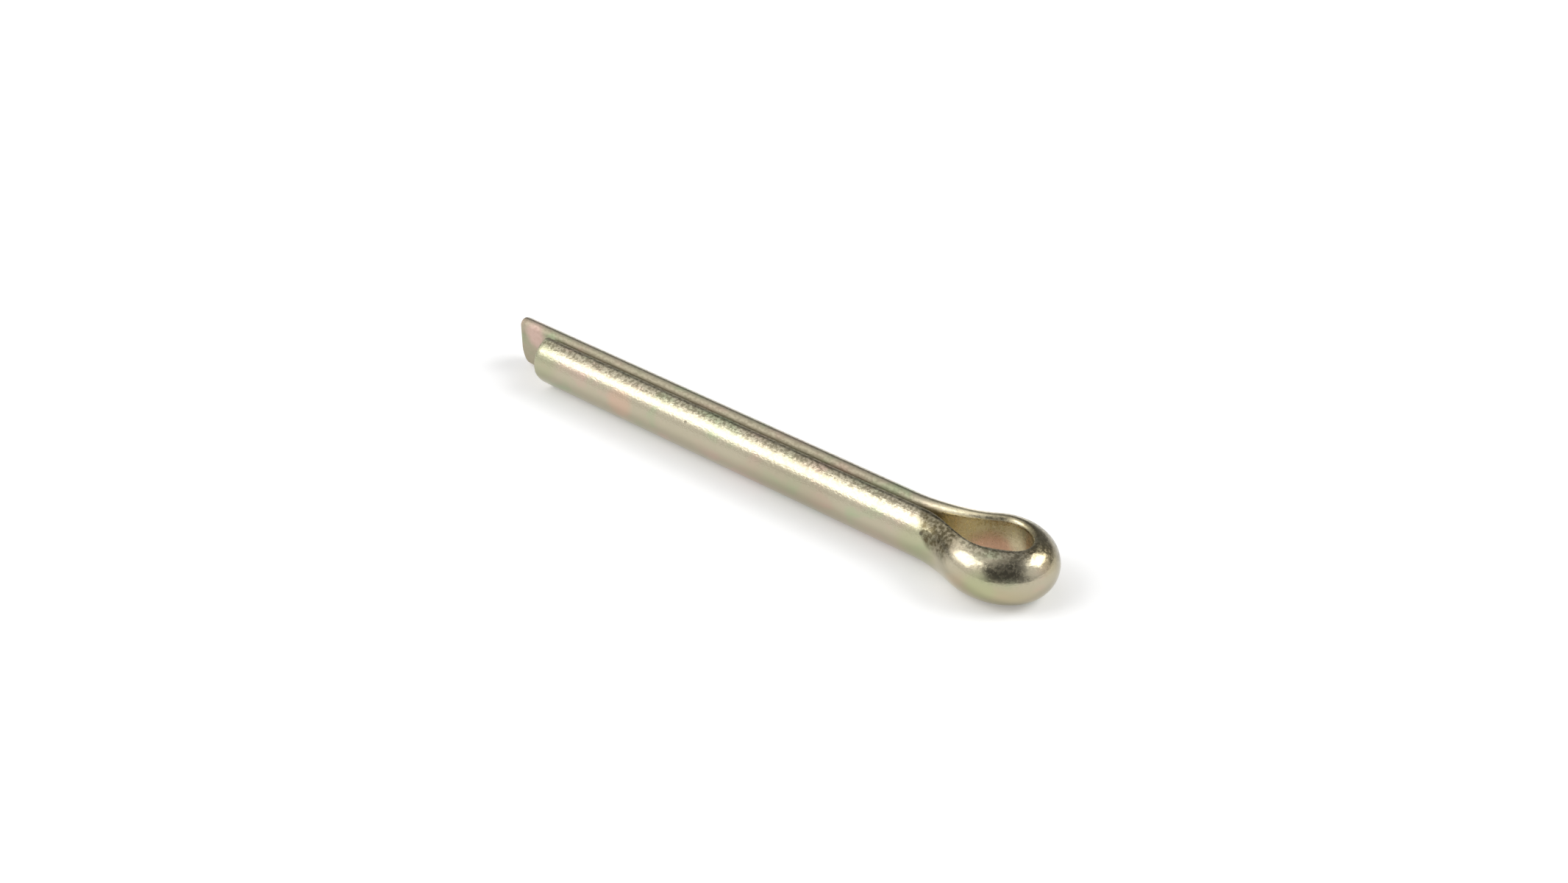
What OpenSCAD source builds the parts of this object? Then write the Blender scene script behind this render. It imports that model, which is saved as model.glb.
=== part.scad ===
// Split cotter pin folded from half-round wire: a loop eye and two close legs, one longer.
// Millimetres. X runs along the shank with the eye at +X, Z is up through the lying pin,
// and the origin is on the shank's axis at the shoulder, where the eye begins.

/* [Shank] */
// Diameter of the round shank that the two legs make together
shank_d = 4.5; // [3.7:0.1:5.5]
// Slit between the two flats
leg_gap = 0.3; // [0.1:0.05:0.6]
// Round on the two long corners of the half-round wire
corner_r = 0.5; // [0.3:0.05:0.7]
// Shoulder to the end of the short leg
short_leg = 40.2; // [20:0.1:80]
// How far the long leg runs past the short one
leg_extra = 4; // [1:0.05:8]
// Edge break round each cut end
tip_break = 0.2; // [0.05:0.05:0.4]

/* [Eye] */
// Inside radius at the crown of the eye
crown_r = 1.85; // [1.5:0.05:2.3]
// Turn of the crown bend on each side of the eye's end
crown_turn = 40; // [30:1:50]
// Inside radius of the eye on the long leg's side
long_side_r = 2.6; // [2.1:0.05:3.2]
// Inside radius of the eye on the short leg's side
short_side_r = 2.5; // [2:0.05:3.1]
// Crown's offset from the shank's axis, toward the long leg
eye_offset = 0.48; // [0.3:0.02:0.6]

/* [Neck] */
// Lean of the long leg's flank where it leaves the eye's side
long_lean = 32.3; // [27:0.1:38.8]
// Lean of the short leg's flank where it leaves the eye's side
short_lean = 17.3; // [14:0.1:21]
// Lean that each flank loses along its own shallow bend
flank_turn = 3; // [2:0.1:4]
// Radius of the flat through the long leg's neck bend
long_neck_r = 9; // [6:0.5:11]
// Radius of the flat through the short leg's neck bend
short_neck_r = 6; // [4:0.5:9]

/* [Colour] */
// Zinc-plated steel wire
steel = "#b8b096";

/* [Hidden] */
$fn = 96;
shank_r = shank_d / 2;

// The section's corner rounds are centred so that they run into the flat and the round side.
corner_x = corner_r + leg_gap / 2;
corner_way = digits([corner_x, sqrt(pow(shank_r - corner_r, 2) - pow(corner_x, 2))]);
corner = (shank_r - corner_r) * corner_way / norm(corner_way);
flat_x = corner.x - corner_r;

// The short leg's neck ends at the origin, which sets how far off the crown's centre is.
crown_x = -neck_centre([0, -eye_offset], short_side_r, short_lean, short_neck_r).x;

function heading(angle) = [cos(angle), sin(angle)];

function side_centre(crown, side_r) = crown + (crown_r - side_r) * heading(crown_turn);

// The flank's shallow radius is the one that brings the neck's end level with the slit.
function flank_r(crown, side_r, lean, neck_r) =
    (side_centre(crown, side_r).y + side_r * cos(lean) - flat_x
        - neck_r * (1 - cos(lean - flank_turn))) / (cos(lean - flank_turn) - cos(lean));

function flank_centre(crown, side_r, lean, neck_r) =
    side_centre(crown, side_r)
        + (side_r + flank_r(crown, side_r, lean, neck_r)) * heading(90 + lean);

function neck_centre(crown, side_r, lean, neck_r) =
    flank_centre(crown, side_r, lean, neck_r)
        + (flank_r(crown, side_r, lean, neck_r) - neck_r) * heading(lean - flank_turn - 90);

// A coarse move and a fine one keep every digit of an offset, so that faces meet exactly.
function digits(v) = [for (c = v) round(c * 1e3) / 1e3];

module shift(v) {
    translate(digits(v))
        translate(v - digits(v))
            children();
}

// Half-round section: the flat on the Y axis, the round side toward +X
module wire_section() {
    shift([-flat_x, 0])
        difference() {
            intersection() {
                circle(r = shank_r);
                shift([flat_x, -shank_d])
                    square(2 * shank_d);
            }
            for (side = [0, 1])
                mirror([0, side])
                    shift(corner)
                        difference() {
                            polygon([[0, 0], 2 * corner_way, shank_d * [-1, 1], [-shank_d, 0]]);
                            circle(r = corner_r);
                        }
        }
}

// Bend of the wire about a centre, with the flat on its inside or its outside
module bend(centre, flat_r, start, turn, flat_outside = false) {
    shift(centre)
        rotate_extrude(start = start, angle = turn)
            shift([flat_r, 0])
                mirror([flat_outside ? 1 : 0, 0])
                    wire_section();
}

// Straight leg from its neck back to the tip, cut square with the round edge broken
module leg(neck_x, tip_x) {
    intersection() {
        shift([neck_x, flat_x, 0])
            mirror([1, 0, 0])
                rotate([90, 0, 90])
                    linear_extrude(2 * short_leg)
                        wire_section();
        translate([tip_x, 0, 0])
            rotate([0, 90, 0])
                cylinder(h = 2 * short_leg, r1 = shank_r - tip_break,
                    r2 = shank_r - tip_break + 2 * short_leg);
    }
}

// One side of the fold, from the crown's bend to the tip of its leg
module side(offset, side_r, lean, neck_r, tip_x) {
    crown = [crown_x, offset];
    flank_lean = lean - flank_turn;
    neck = neck_centre(crown, side_r, lean, neck_r);
    bend(side_centre(crown, side_r), side_r, crown_turn, 90 + lean - crown_turn);
    bend(flank_centre(crown, side_r, lean, neck_r), flank_r(crown, side_r, lean, neck_r),
        270 + flank_lean, flank_turn, true);
    bend(neck, neck_r, 270, flank_lean, true);
    leg(neck.x, tip_x);
}

module cotter_pin() {
    color(steel) {
        bend([crown_x, eye_offset], crown_r, 360 - crown_turn, 2 * crown_turn);
        side(eye_offset, long_side_r, long_lean, long_neck_r, -short_leg - leg_extra);
        mirror([0, 1, 0])
            side(-eye_offset, short_side_r, short_lean, short_neck_r, -short_leg);
    }
}

cotter_pin();
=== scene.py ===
# %% [markdown]
# # A split cotter pin
#
# A cotter pin is one length of half-round steel wire, folded in two with its flats inside.
# The fold is left open as an eye, so the pin can't slip through its hole and can be pulled
# out again. One leg is longer, so a finger or pliers can part the two ends.
#
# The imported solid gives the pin's size and place. This script folds a finer wire in the same
# box, plates it with zinc, and puts it on a table under studio light.

# %% Load the frame
import math
from functools import partial

import bmesh
import bpy
from mathutils import Matrix, Vector


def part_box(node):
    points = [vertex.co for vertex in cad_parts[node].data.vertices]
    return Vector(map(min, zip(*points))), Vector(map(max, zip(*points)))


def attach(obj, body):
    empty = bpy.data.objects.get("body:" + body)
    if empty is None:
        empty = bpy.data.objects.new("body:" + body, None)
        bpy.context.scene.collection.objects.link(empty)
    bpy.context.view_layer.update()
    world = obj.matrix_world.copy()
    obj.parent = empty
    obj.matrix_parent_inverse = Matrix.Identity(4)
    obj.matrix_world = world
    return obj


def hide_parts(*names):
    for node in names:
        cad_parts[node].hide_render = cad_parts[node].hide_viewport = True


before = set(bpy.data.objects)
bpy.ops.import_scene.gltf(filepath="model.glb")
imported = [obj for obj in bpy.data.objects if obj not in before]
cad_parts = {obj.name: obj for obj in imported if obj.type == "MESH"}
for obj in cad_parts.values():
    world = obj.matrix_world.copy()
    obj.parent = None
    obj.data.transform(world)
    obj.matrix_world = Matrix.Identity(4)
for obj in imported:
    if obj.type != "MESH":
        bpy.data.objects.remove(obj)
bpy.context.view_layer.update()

MM = 0.001            # in metres
low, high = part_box("cotter_pin")
print("packed pin, mm:", [round((b - a) / MM, 2) for a, b in zip(low, high)])

# %% [markdown]
# ## The wire's section
#
# The wire is drawn half-round: a flat, two small corner rounds and a round back. Two such
# wires, flat to flat, make a round shank. A section can be cut from a circle, or drawn as with
# a compass. The compass way is taken here, with `spin` on a single point, because every arc
# then has its own centre and its own number of steps.
#
# Round the eye the bending pin squeezes the flat side, so the corners there are sharper than
# along the legs. Both sections are drawn with the same number of points, and the finished
# wire goes over softly from one to the other.

# %% Sizes of the wire, in millimetres
SHANK_R = 2.25        # two wires, flat to flat
SLIT = 0.24           # left between the flats
LEG_CORNER_R = 0.56
EYE_CORNER_R = 0.40
flat_to_back = SHANK_R - SLIT / 2
print("wire, flat to back, mm:", flat_to_back)

# %% Draw the outline with a compass
CORNER_STEPS, BACK_STEPS, FLAT_STEPS = 9, 40, 12
POINT, EDGE = bmesh.types.BMVert, bmesh.types.BMEdge


def only(kinds, geometry):
    """The points, the edges or both, out of what an operator gives back."""
    return [g for g in geometry if isinstance(g, kinds)]


def draw_section(bm, corner_r):
    """The outline in the YZ plane: the flat on the plane y = 0, the round back toward -Y."""
    across = SLIT / 2 + corner_r
    up = math.sqrt((SHANK_R - corner_r) ** 2 - across ** 2)
    angle = math.atan2(up, across)
    pen = bmesh.ops.create_vert(bm, co=(0, 0, -up))["vert"]
    for centre, turn, steps in (
        ((0, -corner_r, -up), angle - math.pi, CORNER_STEPS),
        ((0, SLIT / 2, 0), -2 * angle, BACK_STEPS),
        ((0, -corner_r, up), angle - math.pi, CORNER_STEPS),
    ):
        drawn = bmesh.ops.spin(bm, geom=pen, cent=centre, axis=(1, 0, 0), angle=turn,
                               steps=steps)
        pen = only(POINT, drawn["geom_last"])
    for _ in range(FLAT_STEPS):
        pen = bmesh.ops.extrude_vert_indiv(bm, verts=pen)["verts"]
        bmesh.ops.translate(bm, verts=pen, vec=(0, 0, -2 * up / FLAT_STEPS))
    bmesh.ops.remove_doubles(bm, verts=bm.verts, dist=1e-5)
    return list(bm.edges)


eye_section = bmesh.new()
draw_section(eye_section, EYE_CORNER_R)
eye_outline = [v.co.copy() for v in eye_section.verts]
eye_section.free()
print("points round the section:", len(eye_outline))

# %% [markdown]
# ## The plan of the fold
#
# The eye isn't a plain circle. It is tightest at its far end, the crown, and opens out into
# two flanks, which the necks turn back into the legs. A plan like this can be drawn as a
# curve and given a bevel, or set out as arcs and straight lines. Arcs are used here, because
# a bending machine can only make arcs, and because each radius is then a number to change.
#
# The eye leans toward the long leg. Each flank is as long as it has to be for its neck to end
# level with the slit, and `plan` works that out by walking along the bends.

# %% Sizes of the fold, in millimetres and degrees
CROWN_R, CROWN_TURN = 1.856, 39.9
EYE_OFFSET = 0.4815   # how far the crown is from the shank's axis
SIDES = {             # bends are radius and turn, and a step is the length of one face
    "short": {"bends": [(CROWN_R, CROWN_TURN), (2.24, 45.2), (4.79, 25.9)],
              "neck_r": 10.5, "neck_step": 0.12, "leg_end": -40.16, "sign": -1},
    "long": {"bends": [(CROWN_R, CROWN_TURN), (2.607, 82.4)],
             "neck_r": 12.7, "neck_step": 0.2, "leg_end": low.x / MM, "sign": 1},
}
LEG_STEP, EYE_STEP = 0.5, 0.16
crown_end = high.x / MM - flat_to_back


def plan(side):
    """The flank's lean and length, and how far the neck's end is from the eye's end."""
    heading, across, reach = math.pi / 2, side["sign"] * EYE_OFFSET - SLIT / 2, 0.0
    for radius, degrees in side["bends"]:
        turned = heading + math.radians(degrees)
        across += radius * (math.cos(heading) - math.cos(turned))
        reach += radius * (math.sin(heading) - math.sin(turned))
        heading = turned
    lean = heading - math.pi
    neck_r = side["neck_r"]
    flank = (across - neck_r * (1 - math.cos(lean))) / math.sin(lean)
    reach = reach + flank * math.cos(lean) + neck_r * math.sin(lean)
    return math.degrees(lean), flank, reach


for name, side in SIDES.items():
    side["lean"], side["flank"], reach = plan(side)
    side["neck_x"] = crown_end - reach
    print(name, "lean", round(side["lean"], 1), "flank", round(side["flank"], 2),
          "mm, neck ends at x =", round(side["neck_x"], 2))

# %% [markdown]
# ## Feeding and bending
#
# A cotter pin machine feeds the wire and bends it round pins: out at the neck, along the
# flank, round the eye, and back the same way on the other side. The script does just that.
# A feed is an extrude, and a bend is a spin about a centre on the wire's left or right. Each
# bend starts where the last one stopped, so the whole wire is one clean skin. A curve with a
# bevel would be shorter to write, but it has no place for the two notes below.
#
# Every point keeps two notes. `straight` is where it was before the bending: how much wire
# was fed, and where on the section it is. The draw marks and stains of the plating follow it
# later. `left` is the way that the flat faces there, and the shaping after the fold needs it.

# %% Feed and bend
class Wire:
    """The growing wire: its end section, where its flat is, and which way it heads."""

    def __init__(self, bm, ring, place, heading):
        self.bm, self.ring, self.place, self.heading = bm, ring, Vector(place), heading
        self.straight = bm.verts.layers.float_vector.new("straight")
        self.left = bm.verts.layers.float_vector.new("left")
        for v in bm.verts:
            v[self.straight] = (0, v.co.y, v.co.z)
            v[self.left] = (0, 1, 0)
        self.fed = 0.0         # how much wire is through
        self.crown_at = 0.0    # how much was through at the crown

    def grow(self, geometry, heading):
        """Take new points as the wire's end, and write their notes."""
        self.ring = only((POINT, EDGE), geometry)
        fresh = only(POINT, self.ring)
        for v in fresh:
            v[self.straight] = (self.fed, *v[self.straight].yz)
            v[self.left] = (-math.sin(heading), math.cos(heading), 0)
        return fresh

    def feed(self, length, step):
        """Push the wire straight on."""
        count = max(1, round(length / step))
        way = Vector((math.cos(self.heading), math.sin(self.heading), 0))
        for _ in range(count):
            self.fed += length / count
            pushed = bmesh.ops.extrude_edge_only(self.bm, edges=only(EDGE, self.ring))
            fresh = self.grow(pushed["geom"], self.heading)
            bmesh.ops.translate(self.bm, verts=fresh, vec=way * length / count)
        self.place += way * length

    def bend(self, flat_r, degrees, step):
        """A left bend has the flat on its inside. A right one is below zero degrees."""
        turn = math.radians(degrees)
        side = math.copysign(1, degrees)
        left = Vector((-math.sin(self.heading), math.cos(self.heading), 0))
        centre = self.place + side * flat_r * left
        count = max(1, round(abs(turn) * (flat_r + flat_to_back) / step))
        for i in range(count):
            self.fed += flat_r * abs(turn) / count
            turned = bmesh.ops.spin(self.bm, geom=self.ring, cent=centre, axis=(0, 0, 1),
                                    angle=turn / count, steps=1)
            self.grow(turned["geom_last"], self.heading + turn * (i + 1) / count)
        about_centre = (Matrix.Translation(centre) @ Matrix.Rotation(turn, 4, "Z")
                        @ Matrix.Translation(-centre))
        self.place = about_centre @ self.place
        self.heading += turn


# %% Fold the whole wire
def fold_pin():
    """From the short leg's tip round the eye to the long leg's tip."""
    bm = bmesh.new()
    outline = draw_section(bm, LEG_CORNER_R)
    number = bm.verts.layers.int.new("number")
    for i, v in enumerate(bm.verts):
        v[number] = i
    short, long = SIDES["short"], SIDES["long"]
    start = Vector((short["leg_end"], -SLIT / 2, 0))
    bmesh.ops.translate(bm, verts=bm.verts, vec=start)
    bmesh.ops.edgeloop_fill(bm, edges=outline)
    wire = Wire(bm, outline + list(bm.verts), start, 0.0)
    wire.feed(short["neck_x"] - short["leg_end"], LEG_STEP)
    wire.bend(short["neck_r"], -short["lean"], short["neck_step"])
    wire.feed(short["flank"], EYE_STEP)
    for radius, degrees in reversed(short["bends"]):
        wire.bend(radius, degrees, EYE_STEP)
    wire.crown_at = wire.fed
    for radius, degrees in long["bends"]:
        wire.bend(radius, degrees, EYE_STEP)
    wire.feed(long["flank"], EYE_STEP)
    wire.bend(long["neck_r"], -long["lean"], long["neck_step"])
    wire.feed(wire.place.x - long["leg_end"], LEG_STEP)
    bmesh.ops.edgeloop_fill(bm, edges=only(EDGE, wire.ring))
    return wire


wire = fold_pin()
print("wire fed, mm:", round(wire.fed, 1), "ends at", [round(c, 3) for c in wire.place])

# %% [markdown]
# ## What the tools do to the wire
#
# Bending isn't gentle. On the eye's short side the wire swells inwards where it is upset, and
# thins toward the neck where it is stretched. The flat's corners are squeezed sharp all round
# the eye, and the press that closes it leaves a fuller shoulder outside. The shear that cuts
# the wire rolls the lower edge of each tip over. Sculpting by hand could do this, but not in
# a script. So each point moves by how far it is from the crown or a tip, in soft steps
# without a crease.

# %% How much, in millimetres
SWELL = ((2.2, 2.2, 0.35), (6.2, 3.8, -0.60))   # from the crown: where, reach and height
SHOULDER = (4.6, 3.4, 0.22)    # the same, for the outward bulge
SHOULDER_UP = (15, 60)         # degrees up the round back: where it is highest, and its reach
FLAT_EDGE = -0.1               # nearer the flat than this, a point doesn't bulge outwards
SHARP = (5.5, 10.0)            # the eye's sharp corners end between these, from the crown
SHEAR, SHEAR_REACH = 0.7, 1.5  # how far a tip's lower edge rolls over, and how far in
SHEAR_TOP, SHEAR_DEPTH = 0.4, 1.7    # below the axis: where that starts, and how deep it is


def ease(value, start, end):
    """From 1 down to 0 between two values, with a soft start and end."""
    return (1 + math.cos(math.pi * min(1, max(0, (value - start) / (end - start))))) / 2


print("swell and thinning, mm:", [height for _, _, height in SWELL])

# %% Swell, sharpen and shear
def work(wire):
    """Move each point by what the tools do there."""
    number = wire.bm.verts.layers.int["number"]
    for v in wire.bm.verts:
        fed, across, up = v[wire.straight]
        from_crown = wire.crown_at - fed

        # inwards: sharper corners and the swell, full on the flat and nothing on the back
        to_eye = eye_outline[v[number]] - Vector((0, across, up))
        sharper = ease(abs(from_crown), *SHARP) * to_eye
        swell = sum(height * ease(abs(from_crown - at), 0, reach)
                    for at, reach, height in SWELL)
        v.co += (sharper.y + swell * (1 + across / flat_to_back)) * v[wire.left]
        v.co.z += sharper.z

        # outwards: the shoulder, square to the round back
        at, reach, height = SHOULDER
        highest, spread = SHOULDER_UP
        facing = math.atan2(up, -across) if across < FLAT_EDGE else math.pi / 2
        off_highest = abs(math.degrees(facing) - highest)
        bulge = height * ease(abs(from_crown - at), 0, reach) * ease(off_highest, 0, spread)
        v.co -= bulge * math.cos(facing) * v[wire.left]
        v.co.z += bulge * math.sin(facing)

        # along: the tips' lower edges
        to_tip = min(fed, wire.fed - fed)
        below = max(0, (-v.co.z - SHEAR_TOP) / SHEAR_DEPTH)
        v.co.x += SHEAR * max(0, 1 - to_tip / SHEAR_REACH) * below ** 2
    wire.bm.verts.layers.float_vector.remove(wire.left)
    wire.bm.verts.layers.int.remove(wire.bm.verts.layers.int["number"])


def extent(points):
    """Length, width and height."""
    return [round(max(p[i] for p in points) - min(p[i] for p in points), 2) for i in range(3)]


work(wire)
print("after the tools, mm:", extent([v.co for v in wire.bm.verts]))

# %% [markdown]
# ## The finished pin
#
# The cut ends of the wire are closed by one face each, and plating rounds their rims a
# little. A Bevel modifier would round the rims too, but `bevel` on just the two rims leaves
# nothing live on the piece. The whole skin shades smooth, and keeps an edge only where the
# shear left one.

# %% Round the rims and make the object
RIM_R = 0.12          # mm
KEEP_EDGE = 50        # degrees; a sharper turn than this stays an edge


def make_pin(bm):
    """Round the rims, go from millimetres to metres, and make the object."""
    # only the two cut ends have more than four corners
    rims = [e for e in bm.edges if any(len(f.verts) > 4 for f in e.link_faces)]
    bmesh.ops.bevel(bm, geom=rims, offset=RIM_R, segments=3, profile=0.5, affect="EDGES",
                    material=-1, clamp_overlap=True)
    bmesh.ops.recalc_face_normals(bm, faces=bm.faces)
    # the operators give their faces in another order each run, so they are put in one order
    count = len(bm.verts)
    bm.verts.index_update()
    bm.faces.sort(key=lambda f: count * min(v.index for v in f.verts)
                  + max(v.index for v in f.verts))
    bmesh.ops.scale(bm, verts=bm.verts, vec=(MM, MM, MM))
    for f in bm.faces:
        f.smooth = True
    mesh = bpy.data.meshes.new("pin")
    bm.to_mesh(mesh)
    bm.free()
    mesh.set_sharp_from_angle(angle=math.radians(KEEP_EDGE))
    pin = bpy.data.objects.new("pin", mesh)
    bpy.context.scene.collection.objects.link(pin)
    print("pin:", len(mesh.vertices), "vertices,",
          sum(len(p.vertices) - 2 for p in mesh.polygons), "triangles")
    return pin


pin = make_pin(wire.bm)
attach(pin, "root")
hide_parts("cotter_pin")

# %% [markdown]
# ## The plating
#
# The pin is low-carbon steel wire, barrel-plated with about 5 microns of zinc and dipped in a
# passivate. To the eye it is a satin metal between silver and champagne. A painted texture
# would need an image. Noise in millimetres is used here instead, and each layer has the real
# size of what it stands for. All of them read `straight`, or the pin's own coordinates.

# %% Helpers for colours and nodes
def linear(hex_colour):
    """An sRGB hex colour as Blender's linear numbers."""
    parts = [int(hex_colour[i:i + 2], 16) / 255 for i in (1, 3, 5)]
    return [c / 12.92 if c <= 0.04045 else ((c + 0.055) / 1.055) ** 2.4 for c in parts] + [1.0]


def add_node(tree, kind, settings=(), links=()):
    """Add a node with its settings and links, {input: where from}, and give its outputs."""
    node = tree.nodes.new(kind)
    for name, value in dict(settings).items():
        if isinstance(name, int) or name in node.inputs:
            node.inputs[name].default_value = value
        else:
            setattr(node, name, value)
    for name, source in dict(links).items():
        tree.links.new(source, node.inputs[name])
    return node.outputs


print("middle grey, linear:", round(linear("#808080")[0], 3))

# %% Where on the wire
ON_LEGS, ON_EYE = 0.7, 1.0   # what "bent" says there
ZONES = {             # what it reads, in mm: from, to, its value before and after
    "bent": ("x", -3.0, 1.5, ON_LEGS, ON_EYE),
    "back": ("across", 0.0, -0.14, 0.0, 1.0),       # everywhere but the flat
    "rounded": ("across", -0.05, -0.50, 0.0, 1.0),  # the same, but past the corner
    "corner": ("across", -0.80, -0.45, 0.0, 1.0),   # the corner round and the flat
    "above": ("up", -0.5, 1.2, 0.3, 1.0),           # mostly the upper half
    "upper": ("up", 0.0, 0.8, 0.0, 1.0),            # only the upper half
    "ridge": ("up", 1.50, 1.95, 0.0, 0.6),          # the highest line of the wire
    "neck_start": ("slanted", 42.1, 42.9, 0.0, 1.0),
    "neck_end": ("fed", 44.3, 45.5, 1.0, 0.0),
    "crown_start": ("fed", 50.1, 51.2, 0.0, 0.7),
    "crown_end": ("fed", 54.0, 58.0, 1.0, 0.0),
    "short_side": ("fed", 52.0, 58.0, 1.0, 0.15),
}
SLANT = 1.25          # mm further along that the neck's marks start, for each mm lower


def find_zones(add):
    """The plain coordinates, and a soft step for each zone."""
    place = add("ShaderNodeTexCoord")["Object"]
    mm = add("ShaderNodeVectorMath", {"operation": "SCALE", "Scale": 1 / MM},
             {0: place})["Vector"]
    straight = add("ShaderNodeAttribute", {"attribute_name": "straight"})["Vector"]
    fed, across, up = add("ShaderNodeSeparateXYZ", (), {0: straight})
    slanted = add("ShaderNodeMath", {"operation": "MULTIPLY_ADD", 1: SLANT},
                  {0: up, 2: fed})[0]
    at = {"mm": mm, "straight": straight, "x": add("ShaderNodeSeparateXYZ", (), {0: mm})["X"],
          "fed": fed, "across": across, "up": up, "slanted": slanted}
    for name, (reads, start, end, before, after) in ZONES.items():
        at[name] = add("ShaderNodeMapRange", {
            "interpolation_type": "SMOOTHSTEP", "From Min": start, "From Max": end,
            "To Min": before, "To Max": after}, {"Value": at[reads]})[0]
    return at


print("zones:", ", ".join(ZONES))

# %% [markdown]
# ## The passivate's colours
#
# Passivate is a film thinner than a wavelength, so its thickness tints the zinc: faint green
# where it is thin, faint pink where it is thick. It flows along the wire as it drains, so the
# clouds are longer than they are wide. Inside the hole the colour is painted lighter, golden
# and then salmon: painted bounce light, over the pink of the film at the bottom. The hole's
# far end is painted darker as painted shade. So is the short leg's lower side near the neck,
# as a painted reflection of the pin's shadow on the table. Low on the eye's near side the
# colour is darker and more golden. Some spots are plating pits, and some are green and pink
# drips.
#
# A stain, or a patch of painted light or shade, is a distance from a point. The clouds push
# that distance in and out, which makes its edge ragged, and a soft step turns it into a mask.

# %% Clouds, stains, and painted light and shade
CLOUD = 2.2           # passivate clouds, mm
ALONG = (0.6, 1.0, 1.0)      # clouds and peel are longer along the wire
CLOUD_COLOURS = ((0.30, "#a9af91"), (0.46, "#b5ad97"), (0.55, "#b5ad97"), (0.74, "#c0aa9a"))
STAINS_AND_PAINTED_LIGHT = (            # where and how far it reaches, in mm, then colour and strength
    ((4.0, 1.9, 0.6), 5.5, "#f2e6c3", 0.9),       # painted bounce light inside the hole, golden
    ((4.3, 2.0, -0.9), 2.3, "#e3b096", 0.8),      # salmon film at its bottom, made lighter as painted bounce light
    ((8.9, 0.8, 0.9), 2.0, "#a3966c", 0.7),       # painted shade at its far end, olive
    ((7.4, 2.3, 1.6), 1.8, "#7d7350", 0.6),       # painted shade at its end, on the long side
    ((7.5, -2.6, -1.6), 4.2, "#a99e74", 0.4),     # darker and more golden, low on the eye's near side
    ((7.2, -3.4, 0.1), 1.6, "#a9b288", 0.5),      # two green drips, at the eye and the neck
    ((0.6, -2.3, -0.1), 2.4, "#a9af88", 0.5),
    ((-42.4, 0.2, 1.2), 1.5, "#d6bcb0", 0.9),     # pink film on the long leg's tip
    ((-22.9, -1.9, 1.2), 0.20, "#4a443a", 0.5),   # three plating pits
    ((0.8, -2.0, 1.1), 0.22, "#4a443a", 0.8),
    ((4.6, 2.4, 2.0), 0.20, "#4a443a", 0.7),
    ((-30.0, -2.1, 0.2), 1.7, "#cfa892", 0.45),   # a pink drip
    ((-11.5, -5.0, -0.8), 7.0, "#8f866a", 0.22),  # painted shade: the pin's shadow on the table, as the short leg's lower side mirrors it
    ((-39.7, -2.0, 0.6), 2.6, "#a8ab8a", 0.6),    # green film on the short leg's tip
)
RAGGED, FADE = 0.8, 0.6      # in a stain's radii: the clouds' push, and the soft edge's width


def tinted(add, at):
    """The clouds' colour, with the stains and the painted light and shade over it."""
    along = add("ShaderNodeMapping", {"Scale": ALONG}, {"Vector": at["straight"]})["Vector"]
    cloud = add("ShaderNodeTexNoise", {
        "Scale": 1 / CLOUD, "Detail": 3.0, "Roughness": 0.5, "Distortion": 0.4},
        {"Vector": along})["Fac"]
    colour = add("ShaderNodeValToRGB", (), {"Fac": cloud})["Color"]
    ramp = colour.node.color_ramp
    ramp.elements.remove(ramp.elements[1])
    for stop, shade in CLOUD_COLOURS:
        ramp.elements.new(stop).color = linear(shade)
    ramp.elements.remove(ramp.elements[0])
    # real stains, and patches of painted light and shade, are laid over the clouds one by one
    for point, radius, shade, strength in STAINS_AND_PAINTED_LIGHT:
        away = add("ShaderNodeVectorMath", {"operation": "DISTANCE", 1: point},
                   {0: at["mm"]})["Value"]
        ragged = add("ShaderNodeMath", {"operation": "MULTIPLY_ADD", 1: -RAGGED * radius},
                     {0: cloud, 2: away})[0]
        near = add("ShaderNodeMapRange", {
            "interpolation_type": "SMOOTHSTEP", "From Min": 0.0, "From Max": FADE * radius,
            "To Min": strength, "To Max": 0.0}, {"Value": ragged})[0]
        colour = add("ShaderNodeMix", {"data_type": "RGBA", 7: linear(shade)},
                     {0: near, 6: colour})[2]
    return colour


print("stains:", len(STAINS_AND_PAINTED_LIGHT))

# %% [markdown]
# ## Painted dark reflections
#
# On the upper side of the neck and the outside of the crown, and along the top line of the
# short leg, the wire mirrors the dark part of the room, and that dark mottle is painted into
# its colour: a painted reflection. Painting it on a texture would take an unwrapped mesh. Here
# a mask says where it is, and a noise of 0.3 mm blotches says how dense: coarse and close at
# the neck and the crown, open and sharp along the leg.

# %% Painted dark reflections
BLOTCH = 0.30         # mm
# the colour of the painted dark reflection
PAINTED_REFLECTION_COLOUR = "#5c543e"
DENSITY = {           # the noise's values from and to, and how much is left past them
    "close": (0.38, 0.66, 0.6),
    "open": (0.42, 0.58, 0.0),
}
PAINTED_REFLECTION_ZONES = {             # where the painted dark reflection lies: zones that are multiplied with each other
    "neck": ("neck_start", "neck_end", "upper", "close"),
    "crown": ("crown_start", "crown_end", "upper", "close"),
    "leg": ("ridge", "short_side", "open"),
}


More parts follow.
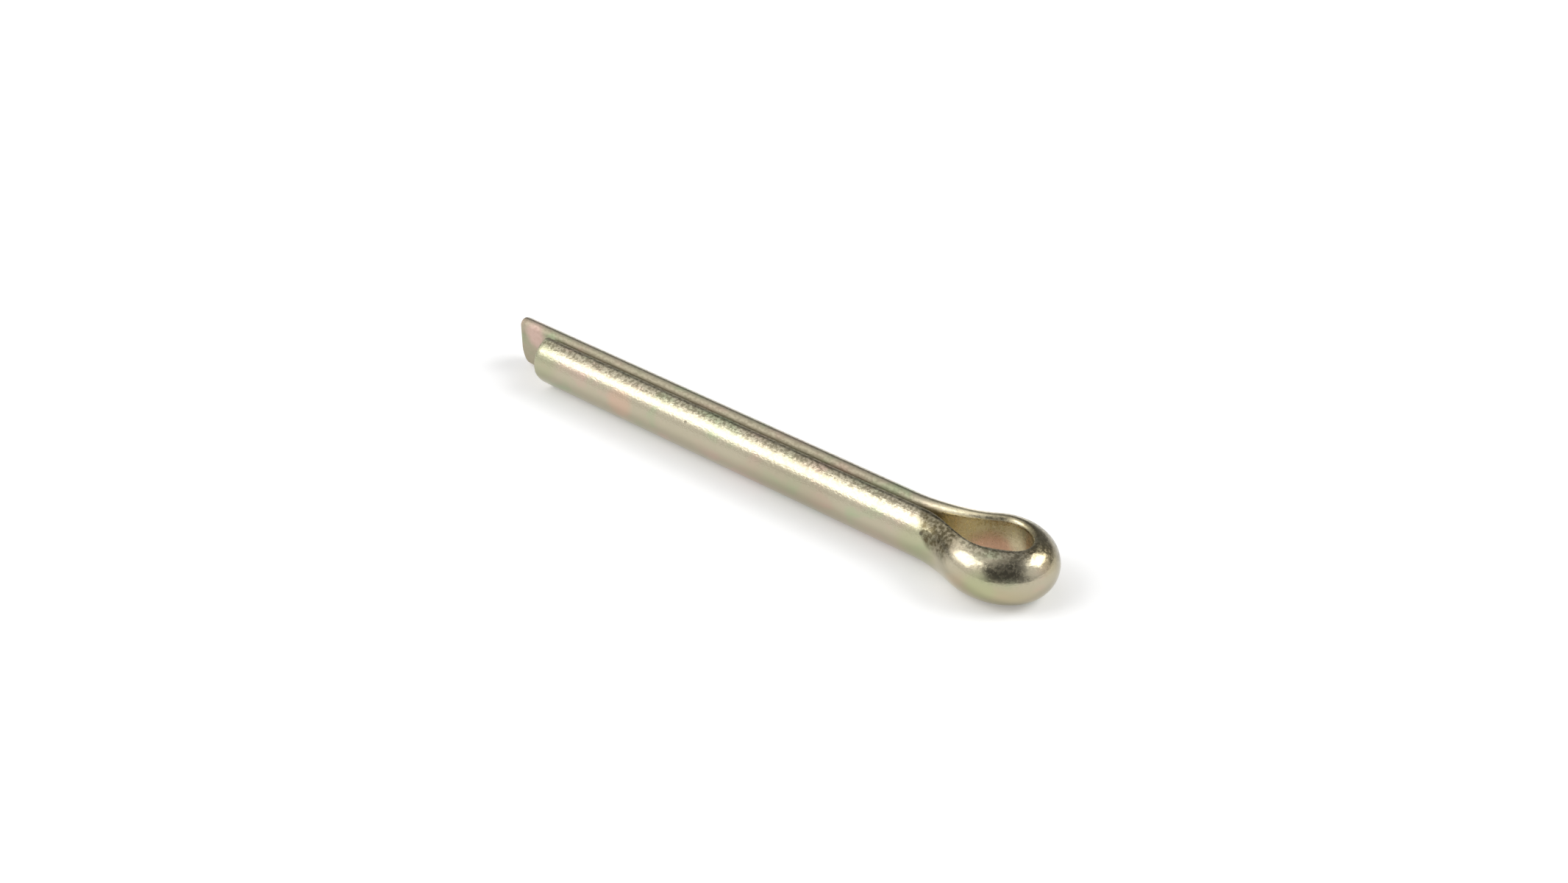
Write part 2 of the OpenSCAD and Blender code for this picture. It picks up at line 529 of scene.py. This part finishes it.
def with_painted_reflection(add, at, colour):
    """The same colour, with a painted dark reflection over it, in blotches."""
    blotch = add("ShaderNodeTexNoise", {"Scale": 1 / BLOTCH, "Detail": 3.0, "Roughness": 0.6},
                 {"Vector": at["mm"]})["Fac"]
    for name, (start, end, least) in DENSITY.items():
        at[name] = add("ShaderNodeMapRange", {
            "interpolation_type": "SMOOTHSTEP", "From Min": start, "From Max": end,
            "To Min": 1.0, "To Max": least}, {"Value": blotch})[0]
    masks = []
    for first, *zones in PAINTED_REFLECTION_ZONES.values():
        mask = at[first]
        for zone in zones:
            mask = add("ShaderNodeMath", {"operation": "MULTIPLY"}, {0: mask, 1: at[zone]})[0]
        masks.append(mask)
    dense, *others = masks
    for mask in others:
        dense = add("ShaderNodeMath", {"operation": "MAXIMUM"}, {0: dense, 1: mask})[0]
    dense = add("ShaderNodeMath", {"operation": "MULTIPLY"}, {0: dense, 1: at["rounded"]})[0]
    return add("ShaderNodeMix", {"data_type": "RGBA", 7: linear(PAINTED_REFLECTION_COLOUR)},
               {0: dense, 6: colour})[2]


# the places that get the painted dark reflection
print("marks:", ", ".join(PAINTED_REFLECTION_ZONES))

# %% [markdown]
# ## The plating's surface
#
# Three things break up the shine. Stretched zinc opens into a fine orange peel, about
# 0.15 mm from bump to bump. The die leaves faint lines along the wire. Between bright grains
# there are matt ones, about 0.28 mm apart, so a highlight ends in a ragged edge. The flats
# lie against each other in the barrel, so they get no peel and no grains, but stay dull.
# The relief is only 16 microns high and can't be seen as shape, so a bump does it. More bump
# would look hammered.

# %% Peel and draw lines
GRAIN = 0.15          # mm
RELIEF = 0.016        # mm
EYE_PEEL = 0.55       # peel left on the eye, which is rubbed smoother than the legs
DRAW_LINES = (0.35, 5.0, 5.0)    # per mm, so a line is 3 mm long and 0.2 mm wide
DRAW_SHARE = 0.25     # of the relief


def relief(add, at, amount):
    """Peel and draw lines, as a bump."""
    along = add("ShaderNodeMapping", {"Scale": ALONG}, {"Vector": at["straight"]})["Vector"]
    peel = add("ShaderNodeTexNoise", {"Scale": 1 / GRAIN, "Detail": 2.0, "Roughness": 0.55},
               {"Vector": along})["Fac"]
    flatter = add("ShaderNodeMapRange", {
        "From Min": ON_LEGS, "From Max": ON_EYE, "To Min": 1.0, "To Max": EYE_PEEL},
        {"Value": at["bent"]})[0]
    for factor in (flatter, amount):
        peel = add("ShaderNodeMath", {"operation": "MULTIPLY"}, {0: peel, 1: factor})[0]
    lines = add("ShaderNodeMapping", {"Scale": DRAW_LINES},
                {"Vector": at["straight"]})["Vector"]
    draw = add("ShaderNodeTexNoise", {"Scale": 1.0, "Detail": 2.0, "Roughness": 0.5},
               {"Vector": lines})["Fac"]
    height = add("ShaderNodeMath", {"operation": "MULTIPLY_ADD", 1: DRAW_SHARE},
                 {0: draw, 2: peel})[0]
    return add("ShaderNodeBump", {"Strength": 1.0, "Distance": RELIEF * MM},
               {"Height": height})["Normal"]


print("relief, microns:", RELIEF * 1000)

# %% Satin back, dull flats and matt grains
FROST = 0.28          # mm
FROST_FROM, FROST_TO, MATT = 0.44, 0.60, 0.16    # the noise's values, and the roughness added
SATIN = (0.17, 0.13)  # roughness, on the legs and on the eye
DULL = (0.42, 0.12)   # what the flats and the corners add to it


def roughness(add, at, amount):
    """How dull each place is."""
    frost = add("ShaderNodeTexNoise", {"Scale": 1 / FROST, "Detail": 3.0, "Roughness": 0.6},
                {"Vector": at["mm"]})["Fac"]
    grains = add("ShaderNodeMapRange", {
        "interpolation_type": "SMOOTHSTEP", "From Min": FROST_FROM, "From Max": FROST_TO,
        "To Min": 0.0, "To Max": MATT}, {"Value": frost})[0]
    for factor in (amount, at["bent"]):
        grains = add("ShaderNodeMath", {"operation": "MULTIPLY"}, {0: grains, 1: factor})[0]
    satin, dull = (
        add("ShaderNodeMapRange", {
            "From Min": ON_LEGS, "From Max": ON_EYE, "To Min": legs, "To Max": eye},
            {"Value": at["bent"]})[0]
        for legs, eye in (SATIN, DULL))
    plain = add("ShaderNodeMath", {"operation": "MULTIPLY_ADD"},
                {0: at["corner"], 1: dull, 2: satin})[0]
    return add("ShaderNodeMath", {"operation": "ADD"}, {0: plain, 1: grains})[0]


print("roughness of the flats, on the legs:", SATIN[0] + DULL[0])

# %% Zinc-plated steel
def zinc_plated_steel():
    """Barrel-plated, passivated zinc: a satin metal, between silver and champagne."""
    material = bpy.data.materials.new("zinc_plated_steel")
    material.use_nodes = True
    tree = material.node_tree
    shader = tree.nodes["Principled BSDF"]
    shader.inputs["Metallic"].default_value = 1.0
    add = partial(add_node, tree)
    at = find_zones(add)
    amount = add("ShaderNodeMath", {"operation": "MULTIPLY"},
                 {0: at["back"], 1: at["above"]})[0]
    tree.links.new(with_painted_reflection(add, at, tinted(add, at)), shader.inputs["Base Color"])
    tree.links.new(roughness(add, at, amount), shader.inputs["Roughness"])
    tree.links.new(relief(add, at, amount), shader.inputs["Normal"])
    print("zinc plate:", len(tree.nodes), "nodes")
    return material


pin.data.materials.append(zinc_plated_steel())

# %% [markdown]
# ## The camera
#
# The pin lies on the table and points away to the left, seen from 31 degrees above. Such a
# view could be aimed by hand. Here it is set out from the turn round the pin, the tilt, the
# roll, the distance and the length of the lens, so each number has a meaning. The camera sees
# its target a little off the middle, so the aim is slid sideways, and no lens shift is needed.

# %% Camera
PICTURE = (2132, 1200)              # pixels
FOCAL_PX = 2850                     # the lens, in the picture's pixels
TURN, TILT, ROLL = (math.radians(degrees) for degrees in (48.782, 31.395, -0.115))
DISTANCE = 165.231                  # mm
TARGET = Vector((-18.496, 0, 0))    # mm; near the middle of the pin
TARGET_PX = (1010.308, 604.059)     # where the picture has it
SENSOR = 36                         # mm


def camera():
    """Place the camera so that it sees the target where it should be in the picture."""
    u, v = (seen - size / 2 for seen, size in zip(TARGET_PX, PICTURE))
    back = Vector((math.cos(TURN) * math.cos(TILT), -math.sin(TURN) * math.cos(TILT),
                   math.sin(TILT)))
    right = Vector((0, 0, 1)).cross(back).normalized()
    up = back.cross(right)
    right, up = (math.cos(ROLL) * right + math.sin(ROLL) * up,
                 -math.sin(ROLL) * right + math.cos(ROLL) * up)
    place = TARGET + DISTANCE * (back - right * u / FOCAL_PX + up * v / FOCAL_PX)
    data = bpy.data.cameras.new("camera")
    data.sensor_width = SENSOR
    data.lens = FOCAL_PX * SENSOR / PICTURE[0]
    data.clip_start = 0.001
    data.clip_end = 10
    ob = bpy.data.objects.new("camera", data)
    turned = Matrix((right, up, back)).transposed().to_4x4()
    ob.matrix_world = Matrix.Translation(MM * place) @ turned
    bpy.context.scene.collection.objects.link(ob)
    bpy.context.scene.camera = ob
    print("camera at, mm:", [round(c, 1) for c in place], "lens", round(data.lens, 2))


camera()

# %% [markdown]
# ## The table
#
# The pin lies on white laminate. White under a lamp would need more light than the pin can
# take, so the table also glows a little, but only for what looks at it: the camera, and the
# metal that mirrors it. The glow lights nothing else, and the pin's shadow still shows.

# %% White table
LIFT = 0.20           # its glow, where 1 is white
TABLE_HALF = 0.6      # metres


def white_laminate():
    """Matt laminate, so it shows soft shadows and no reflections."""
    material = bpy.data.materials.new("white_laminate")
    material.use_nodes = True
    tree = material.node_tree
    shader = tree.nodes["Principled BSDF"]
    shader.inputs["Base Color"].default_value = linear("#f6f6f6")
    shader.inputs["Roughness"].default_value = 0.9
    shader.inputs["Specular IOR Level"].default_value = 0.1
    shader.inputs["Emission Color"].default_value = (1, 1, 1, 1)
    add = partial(add_node, tree)
    path = add("ShaderNodeLightPath")
    seen = path["Is Camera Ray"]
    for other in ("Is Glossy Ray", "Is Transmission Ray"):
        seen = add("ShaderNodeMath", {"operation": "MAXIMUM"}, {0: seen, 1: path[other]})[0]
    lift = add("ShaderNodeMath", {"operation": "MULTIPLY", 1: LIFT}, {0: seen})[0]
    tree.links.new(lift, shader.inputs["Emission Strength"])
    return material


def table():
    """One flat face, level with the lowest point of the pin."""
    bm = bmesh.new()
    bmesh.ops.create_grid(bm, x_segments=1, y_segments=1, size=TABLE_HALF)
    top = min(v.co.z for v in pin.data.vertices)
    bmesh.ops.translate(bm, verts=bm.verts, vec=(0, 0, top))
    mesh = bpy.data.meshes.new("table")
    bm.to_mesh(mesh)
    bm.free()
    ob = bpy.data.objects.new("table", mesh)
    bpy.context.scene.collection.objects.link(ob)
    ob.data.materials.append(white_laminate())
    print("table's top at z =", round(top / MM, 3), "mm")


table()

# %% [markdown]
# ## The lamps
#
# A round metal bar shows its lamps as lines along it, so the lamps are large and soft: one
# at the front left, which draws the bright band down the short leg, and one behind on the
# right, which lights the crown and throws the shadow forward. A softbox's power in watts says
# little. `glow` is its own brightness, where 1 is white paper, and the power is worked out.

# %% Softboxes
LAMP_DISTANCE = 1.5   # metres


def toward(azimuth, elevation):
    """The direction at two angles in degrees, as seen from the pin."""
    a, e = math.radians(azimuth), math.radians(elevation)
    return Vector((math.cos(a) * math.cos(e), math.sin(a) * math.cos(e), math.sin(e)))


def softbox(name, azimuth, elevation, width, height, glow):
    """A flat diffuser that faces the pin."""
    data = bpy.data.lights.new(name, "AREA")
    data.shape, data.size, data.size_y = "RECTANGLE", width, height
    data.energy = glow * math.pi * width * height
    ob = bpy.data.objects.new(name, data)
    way = toward(azimuth, elevation)
    facing = way.to_track_quat("Z", "Y").to_matrix().to_4x4()
    ob.matrix_world = Matrix.Translation(way * LAMP_DISTANCE) @ facing
    bpy.context.scene.collection.objects.link(ob)
    print(name, "watts:", round(data.energy, 2))


softbox("softbox_left", azimuth=227, elevation=42, width=0.78, height=1.00, glow=2.2)
softbox("softbox_right", azimuth=45, elevation=43, width=0.90, height=0.78, glow=4.1)

# %% [markdown]
# ## The room
#
# Metal is mostly a picture of the room. A plain grey world would leave the pin flat. An image
# of a studio would be one more file to carry, so the room is drawn from a few soft steps on
# the direction of sight: light that spills round each softbox, pale walls at table height, and
# a dark place above the camera, which gives the eye its black patch. All rays see the same
# room.

# %% Light and dark directions
GREY = 0.27           # the rest of the room, where 1 is white
SPILL = (             # azimuth, elevation, full within, gone beyond (degrees), brightness
    (240, 18, 15, 40, 0.7),
    (25, 36, 20, 44, 0.7),
    (205, 53, 8, 50, 0.85),
)
DARK = (308, 50, 20, 43, 0.36)    # the same, but this much of the light is left
WALL_FADE = (0.02, 0.16)          # the direction's Z: white below, and no wall above


def room():
    """A world that is bright or dark by direction."""
    world = bpy.data.worlds.new("studio")
    bpy.context.scene.world = world
    world.use_nodes = True
    tree = world.node_tree
    add = partial(add_node, tree)
    way = add("ShaderNodeTexCoord")["Generated"]

    def lobe(azimuth, elevation, inner, outer, near, far):
        """A soft step in brightness between two angles from a direction."""
        dot = add("ShaderNodeVectorMath", {
            "operation": "DOT_PRODUCT", 1: toward(azimuth, elevation)}, {0: way})["Value"]
        return add("ShaderNodeMapRange", {
            "interpolation_type": "SMOOTHSTEP", "From Min": math.cos(math.radians(outer)),
            "From Max": math.cos(math.radians(inner)), "To Min": far, "To Max": near},
            {"Value": dot})[0]

    first, *others = SPILL
    glow = lobe(*first, 0.0)
    for spill in others:
        glow = add("ShaderNodeMath", {"operation": "ADD"}, {0: glow, 1: lobe(*spill, 0.0)})[0]
    glow = add("ShaderNodeMath", {"operation": "ADD", 1: GREY}, {0: glow})[0]
    glow = add("ShaderNodeMath", {"operation": "MULTIPLY"}, {0: glow, 1: lobe(*DARK, 1.0)})[0]
    height = add("ShaderNodeSeparateXYZ", (), {0: way})["Z"]
    walls = add("ShaderNodeMapRange", {
        "interpolation_type": "SMOOTHSTEP", "From Min": WALL_FADE[0], "From Max": WALL_FADE[1],
        "To Min": 1.0, "To Max": 0.0}, {"Value": height})[0]
    shown = add("ShaderNodeMath", {"operation": "MAXIMUM"}, {0: glow, 1: walls})[0]
    background = tree.nodes["Background"]
    background.inputs["Color"].default_value = (1, 1, 1, 1)
    tree.links.new(shown, background.inputs["Strength"])
    print("room:", len(SPILL), "light directions and a dark one")


room()
bpy.context.scene.view_settings.view_transform = "Standard"
